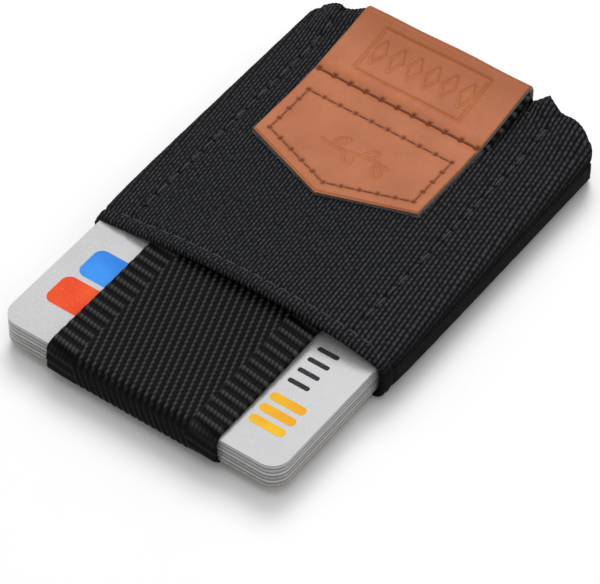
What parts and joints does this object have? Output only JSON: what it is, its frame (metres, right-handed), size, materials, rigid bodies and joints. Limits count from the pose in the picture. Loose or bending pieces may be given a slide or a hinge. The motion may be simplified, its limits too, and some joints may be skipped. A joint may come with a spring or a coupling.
{
  "type": "minimalist wallet",
  "caption": "Slim elastic card sleeve holding a stack of bank cards, with a webbing strap that loops round them to a stitched leather pull tab.",
  "frame": {"origin": "middle of the wallet's outline, on the face of the back panel that it lies on", "axes": "+Y along the wallet to the mouth and the tab's fold, +Z out of the front panel, +X across to the right seen from the front"},
  "size_m": [0.058, 0.0894, 0.0133],
  "materials": {
    "elastic": "ribbed charcoal elastic, matte",
    "lining": "thin black lining",
    "webbing": "black twill webbing, slight sheen",
    "leather": "smooth tan leather, satin",
    "leather_backing": "dark flesh side, fuzzy",
    "black_thread": "black thread",
    "brown_thread": "brown thread",
    "card": "silver plastic card"
  },
  "bodies": {
    "sleeve": {"sleeve_back_panel": "elastic", "sleeve_front_panel": "elastic", "sleeve_left_shoulder": "elastic", "sleeve_right_shoulder": "elastic", "sleeve_left_wall": "elastic", "sleeve_right_wall": "elastic", "strap_channel_lining": "lining", "left_seam_thread": "black_thread", "right_seam_thread": "black_thread", "lip_hem_thread": "black_thread", "mouth_hem_thread": "black_thread", "strap_anchor_thread": "black_thread", "strap_anchor": "webbing", "strap_back_run": "webbing"},
    "strap_loop": {"strap_under_run": "webbing", "strap_end_bend": "webbing", "strap_cover_run": "webbing", "strap_middle_run": "webbing"},
    "strap_front": {"strap_front_run": "webbing", "strap_fold": "webbing", "leather_fold": "leather"},
    "pull_tab": {"tab_leather_front": "leather", "tab_leather_back": "leather_backing", "tab_webbing_end": "webbing", "tab_cross_stitches": "brown_thread", "tab_border_stitches": "brown_thread"},
    "card_1": {"card_1": "card"},
    "card_2": {"card_2": "card"},
    "card_3": {"card_3": "card"},
    "card_4": {"card_4": "card"},
    "card_5": {"card_5": "card"},
    "card_6": {"card_6": "card"}
  },
  "joints": [
    {"name": "cards_push", "type": "slide", "parent": "sleeve", "child": "strap_loop", "axis": [0, 1, 0], "range_m": [0, 0.025], "deforming": ["strap_back_run"]},
    {"name": "strap_pull", "type": "slide", "parent": "strap_loop", "child": "strap_front", "axis": [0, 1, 0], "range_m": [0, 0.025], "deforming": ["strap_middle_run"]},
    {"name": "tab_flip", "type": "hinge", "parent": "strap_front", "child": "pull_tab", "pos_m": [-0.0005, 0.0447, 0.0102], "axis": [-1, 0, 0], "range_deg": [0, 176], "deforming": ["strap_fold", "leather_fold"]},
    {"name": "card_1_slide", "type": "slide", "parent": "strap_loop", "child": "card_1", "axis": [0, 1, 0], "range_m": [0, 0.06]},
    {"name": "card_2_slide", "type": "slide", "parent": "strap_loop", "child": "card_2", "axis": [0, 1, 0], "range_m": [0, 0.06]},
    {"name": "card_3_slide", "type": "slide", "parent": "strap_loop", "child": "card_3", "axis": [0, 1, 0], "range_m": [0, 0.06]},
    {"name": "card_4_slide", "type": "slide", "parent": "strap_loop", "child": "card_4", "axis": [0, 1, 0], "range_m": [0, 0.06]},
    {"name": "card_5_slide", "type": "slide", "parent": "strap_loop", "child": "card_5", "axis": [0, 1, 0], "range_m": [0, 0.06]},
    {"name": "card_6_slide", "type": "slide", "parent": "strap_loop", "child": "card_6", "axis": [0, 1, 0], "range_m": [0, 0.06]}
  ],
  "couplings": [
    {"joint": "strap_pull", "follows": "cards_push", "ratio": 1}
  ]
}
